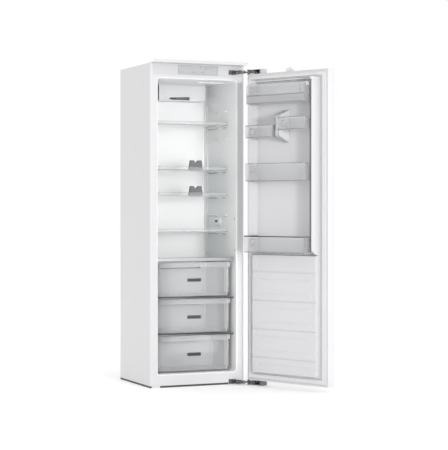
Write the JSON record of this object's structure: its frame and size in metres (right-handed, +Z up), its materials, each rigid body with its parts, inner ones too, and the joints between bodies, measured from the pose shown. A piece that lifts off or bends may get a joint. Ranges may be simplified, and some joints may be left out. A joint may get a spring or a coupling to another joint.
{
  "type": "built-in larder refrigerator",
  "caption": "Tall white built-in larder refrigerator with its door open on link hinges, glass shelves, clear drawers and door racks.",
  "frame": {"origin": "centre of the cabinet base's flat underside", "axes": "+Z up, the door side faces -Y, the hinge is at +X"},
  "size_m": [0.8376, 1.0488, 1.7868],
  "materials": {
    "white_steel": "satin white lacquer",
    "liner_plastic": "formed white polystyrene",
    "foam": null,
    "dark_plastic": "matte",
    "pale_plastic": "light grey, matte",
    "grey_plastic": "mid grey, matte",
    "zinc_steel": "galvanised sheet",
    "hinge_steel": "dark passivated steel",
    "bright_metal": "brushed",
    "glass": "toughened clear glass",
    "clear_plastic": "clear moulded plastic",
    "gasket_rubber": "soft, light grey",
    "black_paint": "black lacquer",
    "black_plastic": "black, matte",
    "circuit_board": "coated board"
  },
  "bodies": {
    "cabinet": {"outer_casing": "white_steel", "top_mounting_strip": "white_steel", "inner_liner": "liner_plastic", "control_fascia": "liner_plastic", "fan_housing": "liner_plastic", "insulation_foam": "foam", "base_plate": "dark_plastic", "fan_motor": "dark_plastic", "compressor_mount": "dark_plastic", "mains_inlet": "dark_plastic", "front_foot_left": "pale_plastic", "front_foot_right": "pale_plastic", "control_panel": "pale_plastic", "sensor_cover": "pale_plastic", "back_panel": "zinc_steel", "hinge_leaf_upper": "hinge_steel", "hinge_leaf_lower": "hinge_steel", "cover_shelf_profile": "bright_metal", "evaporator_plate": "bright_metal", "cover_shelf_glass": "glass", "divider_1": "glass", "divider_2": "glass", "compressor": "black_paint", "condenser": "black_paint", "terminal_box": "black_plastic", "evaporation_tray": "black_plastic", "control_board": "circuit_board"},
    "hinge_arm": {"hinge_link_upper": "hinge_steel", "hinge_link_lower": "hinge_steel"},
    "door": {"door_outer_panel": "white_steel", "door_foam": "foam", "door_liner": "liner_plastic", "door_gasket": "gasket_rubber", "panel_bracket": "pale_plastic", "hinge_door_leaf_upper": "hinge_steel", "hinge_door_leaf_lower": "hinge_steel"},
    "dairy_box": {"dairy_rack": "clear_plastic"},
    "dairy_cover": {"dairy_lid": "clear_plastic"},
    "left_tray": {"left_rack": "clear_plastic"},
    "right_tray": {"right_rack": "clear_plastic"},
    "middle_tray": {"middle_rack": "clear_plastic"},
    "bottle_tray": {"bottle_rack": "clear_plastic", "bottle_rail": "bright_metal"},
    "shelf_1": {"shelf_1_glass": "glass", "shelf_1_trim": "pale_plastic"},
    "shelf_2": {"shelf_2_glass": "glass", "shelf_2_trim": "pale_plastic", "bottle_grip_1": "grey_plastic"},
    "shelf_3": {"shelf_3_glass": "glass", "shelf_3_trim": "pale_plastic", "bottle_grip_2": "grey_plastic"},
    "shelf_4": {"shelf_4_glass": "glass", "shelf_4_trim": "pale_plastic"},
    "drawer_1": {"drawer_1": "clear_plastic"},
    "drawer_2": {"drawer_2": "clear_plastic"},
    "drawer_3": {"drawer_3": "clear_plastic"},
    "key_1": {"key_1": "grey_plastic"},
    "key_2": {"key_2": "grey_plastic"},
    "key_3": {"key_3": "grey_plastic"},
    "fan": {"fan_wheel": "dark_plastic"}
  },
  "joints": [
    {"name": "hinge_arm_turn", "type": "hinge", "parent": "cabinet", "child": "hinge_arm", "pos_m": [0.23628, -0.28422, 0], "axis": [0, 0, -1], "range_deg": [-68.21, 0.02]},
    {"name": "door_turn", "type": "hinge", "parent": "hinge_arm", "child": "door", "pos_m": [0.27864, -0.30734, 0], "axis": [0, 0, 1], "range_deg": [-183.16, 0]},
    {"name": "dairy_lift", "type": "slide", "parent": "door", "child": "dairy_box", "axis": [0, 0, 1], "range_m": [0, 0.014]},
    {"name": "dairy_lid_turn", "type": "hinge", "parent": "dairy_box", "child": "dairy_cover", "pos_m": [0.34256, -0.57931, 1.61737], "axis": [-0.4226, 0.9063, 0], "range_deg": [0, 75]},
    {"name": "left_rack_lift", "type": "slide", "parent": "door", "child": "left_tray", "axis": [0, 0, 1], "range_m": [0, 0.014]},
    {"name": "right_rack_lift", "type": "slide", "parent": "door", "child": "right_tray", "axis": [0, 0, 1], "range_m": [0, 0.014]},
    {"name": "middle_rack_lift", "type": "slide", "parent": "door", "child": "middle_tray", "axis": [0, 0, 1], "range_m": [0, 0.014]},
    {"name": "bottle_rack_lift", "type": "slide", "parent": "door", "child": "bottle_tray", "axis": [0, 0, 1], "range_m": [0, 0.014]},
    {"name": "shelf_1_slide", "type": "slide", "parent": "cabinet", "child": "shelf_1", "axis": [0, -1, 0], "range_m": [0, 0.09]},
    {"name": "shelf_2_slide", "type": "slide", "parent": "cabinet", "child": "shelf_2", "axis": [0, -1, 0], "range_m": [0, 0.09]},
    {"name": "shelf_3_slide", "type": "slide", "parent": "cabinet", "child": "shelf_3", "axis": [0, -1, 0], "range_m": [0, 0.09]},
    {"name": "shelf_4_slide", "type": "slide", "parent": "cabinet", "child": "shelf_4", "axis": [0, -1, 0], "range_m": [0, 0.09]},
    {"name": "drawer_1_slide", "type": "slide", "parent": "cabinet", "child": "drawer_1", "axis": [0, -1, 0], "range_m": [0, 0.3]},
    {"name": "drawer_2_slide", "type": "slide", "parent": "cabinet", "child": "drawer_2", "axis": [0, -1, 0], "range_m": [0, 0.3]},
    {"name": "drawer_3_slide", "type": "slide", "parent": "cabinet", "child": "drawer_3", "axis": [0, -1, 0], "range_m": [0, 0.22]},
    {"name": "key_1_press", "type": "slide", "parent": "cabinet", "child": "key_1", "axis": [0, 1, 0], "range_m": [0, 0.001], "stiffness_N_per_m": 400},
    {"name": "key_2_press", "type": "slide", "parent": "cabinet", "child": "key_2", "axis": [0, 1, 0], "range_m": [0, 0.001], "stiffness_N_per_m": 400},
    {"name": "key_3_press", "type": "slide", "parent": "cabinet", "child": "key_3", "axis": [0, 1, 0], "range_m": [0, 0.001], "stiffness_N_per_m": 400},
    {"name": "fan_spin", "type": "hinge", "parent": "cabinet", "child": "fan", "pos_m": [-0.0825, 0.129, 1.6288], "axis": [1, 0, 0], "continuous": true}
  ],
  "couplings": [
    {"joint": "hinge_arm_turn", "follows": "door_turn", "ratio": 0.37213}
  ]
}
